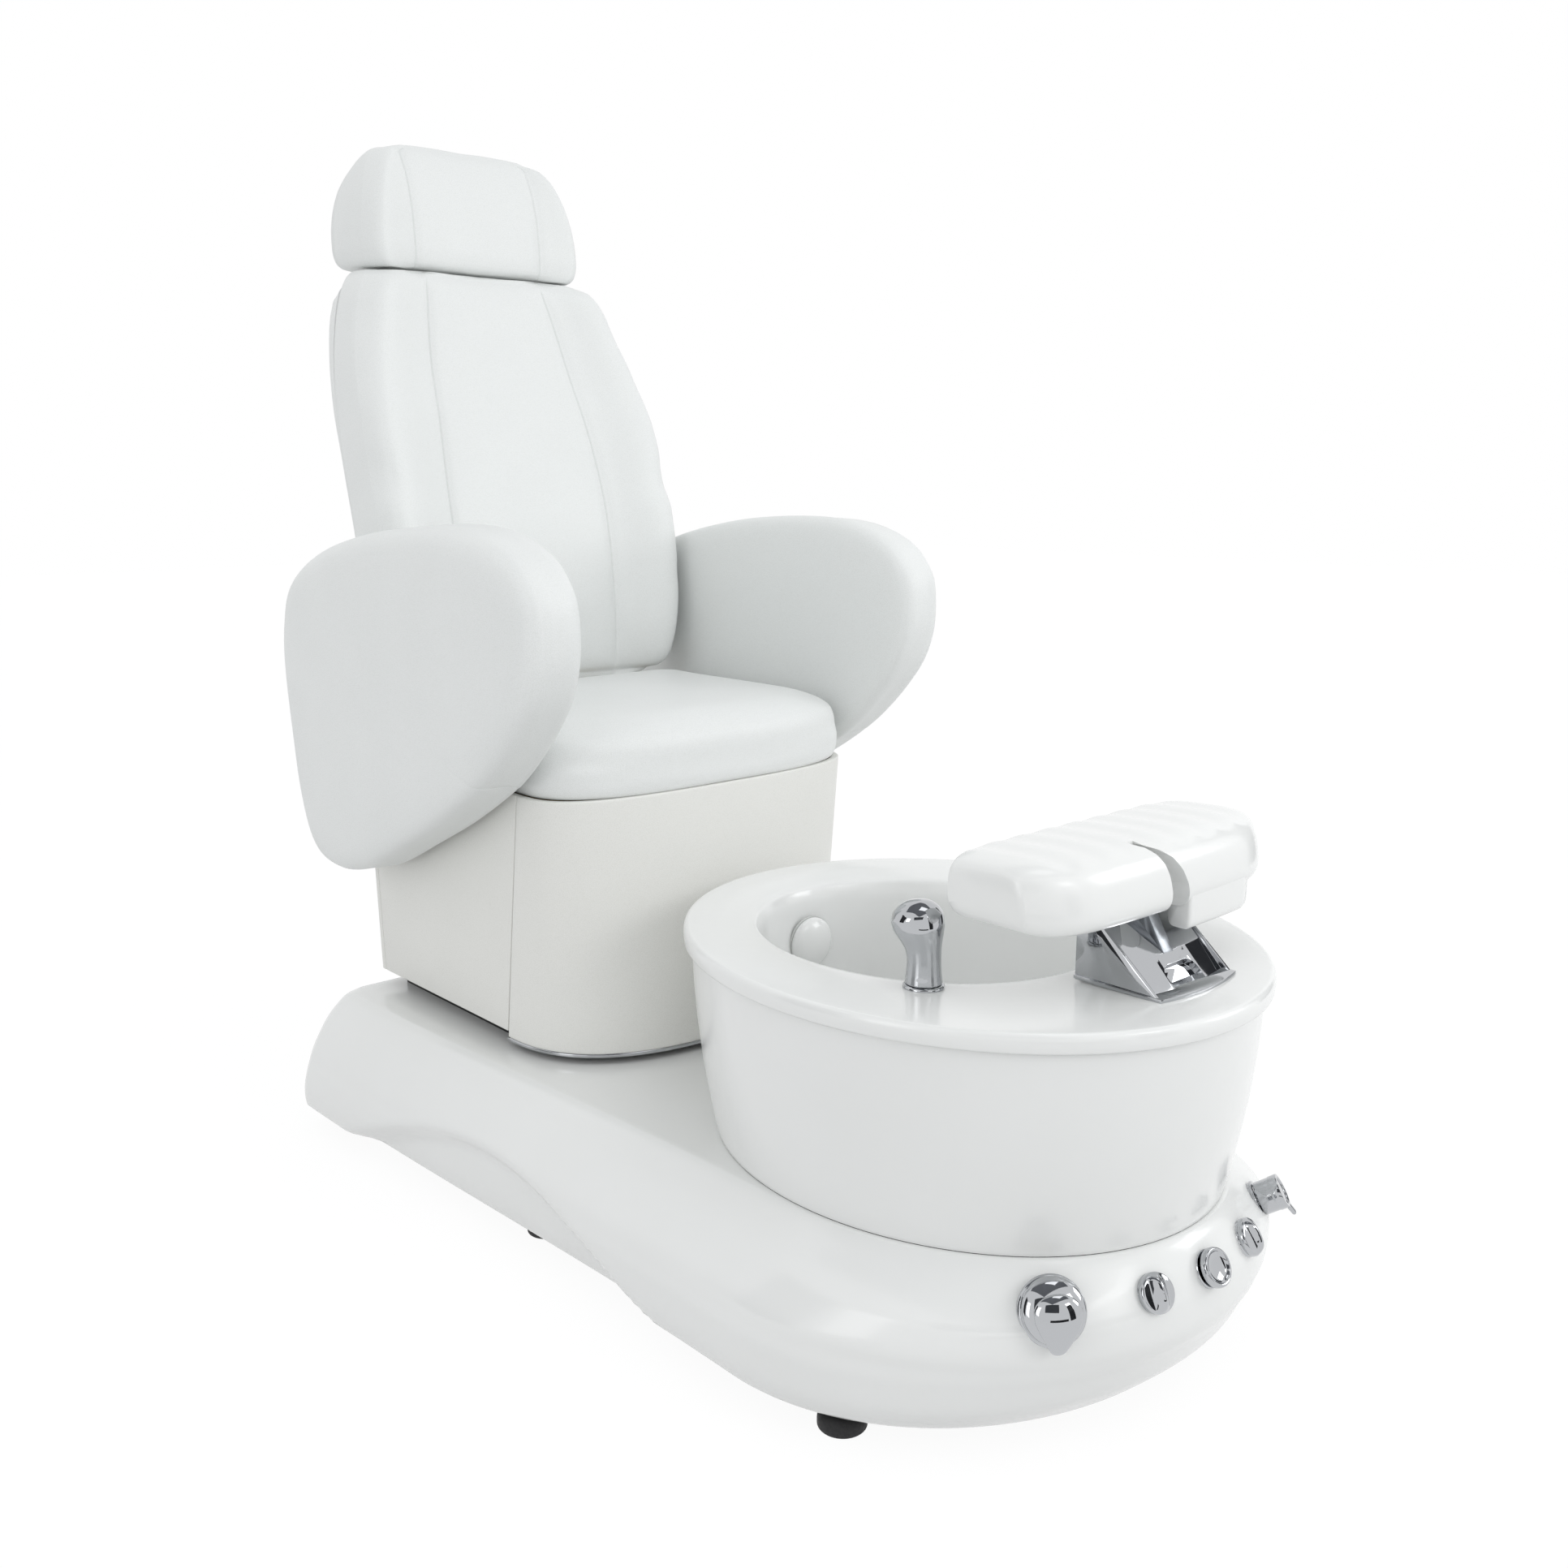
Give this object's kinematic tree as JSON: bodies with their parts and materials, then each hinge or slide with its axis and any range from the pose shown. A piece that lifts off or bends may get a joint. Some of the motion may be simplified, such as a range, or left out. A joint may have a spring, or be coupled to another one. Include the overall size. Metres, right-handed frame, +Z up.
{
  "type": "pedicure spa chair",
  "caption": "White reclining pedicure chair with lift-up arms, a raised headrest and an oval foot tub with spout, controls and footrest on one moulded base.",
  "frame": {"origin": "on the floor, in the middle of the chair's width and length", "axes": "+Z up, +Y from the tub to the backrest, +X the sitter's left"},
  "size_m": [0.756, 1.4872, 1.422],
  "materials": {
    "gelcoat": "glossy white gelcoat",
    "vinyl": "satin white vinyl on board",
    "upholstery": "satin white coated fabric over foam",
    "chrome": "bright chrome plating",
    "steel": "zinc-plated steel",
    "frame_steel": "black powder-coated tube",
    "rubber": "matt black rubber",
    "black_plastic": "matt black plastic",
    "pipe_plastic": "pale grey pipe plastic",
    "brass": "cast brass",
    "plywood": "plain plywood"
  },
  "bodies": {
    "base": {"base_shell": "gelcoat", "base_frame": "frame_steel", "foot_studs": "chrome", "foot_pads": "rubber", "deck_plinth": "black_plastic", "inlet_unions": "chrome", "cable_gland": "black_plastic", "tub_skirt": "gelcoat", "tub_gasket": "rubber", "tub_basin": "gelcoat", "drain_body": "black_plastic", "drain_strainer": "chrome", "drain_elbow": "pipe_plastic", "jet_housing": "pipe_plastic", "jet_motor": "black_plastic", "jet_cover": "gelcoat", "spout_base": "chrome", "rest_bracket": "chrome", "rest_bolts": "steel", "rest_pin": "steel", "tap_valve": "brass", "tap_escutcheon": "chrome", "knob_bezels": "chrome", "knob_valves": "brass", "spray_socket": "chrome", "seat_frame": "frame_steel", "box_front": "vinyl", "box_side_right": "vinyl", "box_side_left": "vinyl", "box_rear_panel": "vinyl", "box_trim": "chrome", "seat_board": "plywood", "seat_cushion": "upholstery", "recline_brackets": "steel", "recline_pins": "steel", "arm_bolts": "steel"},
    "stopper": {"drain_stopper": "chrome"},
    "impeller": {"jet_impeller": "pipe_plastic"},
    "spout": {"spout_swivel": "chrome"},
    "footrest": {"rest_arm": "steel", "rest_pad": "gelcoat", "rest_grip": "gelcoat"},
    "tap": {"tap_turret": "chrome"},
    "tap_handle": {"tap_lever": "chrome"},
    "diverter": {"diverter_knob": "chrome"},
    "button": {"jet_button": "chrome"},
    "drain_control": {"drain_knob": "chrome"},
    "spray": {"spray_head": "chrome"},
    "spray_trigger": {"spray_lever": "chrome"},
    "backrest": {"back_frame": "steel", "back_board": "plywood", "back_cushion": "upholstery", "back_cover": "vinyl", "post_guides": "black_plastic"},
    "headrest": {"head_posts": "chrome", "head_cushion": "upholstery"},
    "arm_right": {"arm_board_right": "vinyl", "arm_pad_right": "upholstery"},
    "arm_left": {"arm_board_left": "vinyl", "arm_pad_left": "upholstery"}
  },
  "joints": [
    {"name": "stopper_lift", "type": "slide", "parent": "base", "child": "stopper", "axis": [0, 0, 1], "range_m": [0, 0.008]},
    {"name": "impeller_spin", "type": "hinge", "parent": "base", "child": "impeller", "pos_m": [0, -0.117, 0.368], "axis": [0, 1, 0], "continuous": true},
    {"name": "spout_turn", "type": "hinge", "parent": "base", "child": "spout", "pos_m": [-0.168, -0.479, 0.44], "axis": [0, 0, 1], "range_deg": [-60, 60]},
    {"name": "footrest_tilt", "type": "hinge", "parent": "base", "child": "footrest", "pos_m": [0.027, -0.625, 0.468], "axis": [1, 0, 0], "range_deg": [0, 35]},
    {"name": "tap_turn", "type": "hinge", "parent": "base", "child": "tap", "pos_m": [-0.18176, -0.66404, 0.16645], "axis": [-0.5181, -0.6939, 0.5], "range_deg": [-45, 45]},
    {"name": "tap_lift", "type": "hinge", "parent": "tap", "child": "tap_handle", "pos_m": [-0.19213, -0.67792, 0.17645], "axis": [-0.8013, 0.5983, 0], "range_deg": [0, 20]},
    {"name": "diverter_turn", "type": "hinge", "parent": "base", "child": "diverter", "pos_m": [-0.08372, -0.71088, 0.16645], "axis": [-0.2169, -0.8384, 0.5], "range_deg": [0, 90]},
    {"name": "button_press", "type": "slide", "parent": "base", "child": "button", "axis": [0.0061, 0.866, -0.5], "range_m": [0, 0.004], "stiffness_N_per_m": 600, "springref_m": -0.003},
    {"name": "drain_turn", "type": "hinge", "parent": "base", "child": "drain_control", "pos_m": [0.07841, -0.7122, 0.16645], "axis": [0.2013, -0.8423, 0.5], "range_deg": [0, 90]},
    {"name": "spray_pull", "type": "slide", "parent": "base", "child": "spray", "axis": [0.464, -0.7313, 0.5], "range_m": [0, 0.045]},
    {"name": "spray_squeeze", "type": "hinge", "parent": "spray", "child": "spray_trigger", "pos_m": [0.18036, -0.70127, 0.16869], "axis": [0.8444, 0.5357, 0], "range_deg": [0, 10], "stiffness_Nm_per_rad": 0.1, "springref_deg": -8.59},
    {"name": "back_recline", "type": "hinge", "parent": "base", "child": "backrest", "pos_m": [0, 0.497, 0.61], "axis": [-1, 0, 0], "range_deg": [0, 35]},
    {"name": "headrest_height", "type": "slide", "parent": "backrest", "child": "headrest", "axis": [0, 0.2672, 0.9636], "range_m": [0, 0.06]},
    {"name": "arm_right_lift", "type": "hinge", "parent": "base", "child": "arm_right", "pos_m": [-0.265, 0.415, 0.505], "axis": [-1, 0, 0], "range_deg": [0, 70]},
    {"name": "arm_left_lift", "type": "hinge", "parent": "base", "child": "arm_left", "pos_m": [0.265, 0.415, 0.505], "axis": [-1, 0, 0], "range_deg": [0, 70]}
  ],
  "couplings": [
    {"joint": "stopper_lift", "follows": "drain_turn", "m_per_rad": 0.00509}
  ]
}
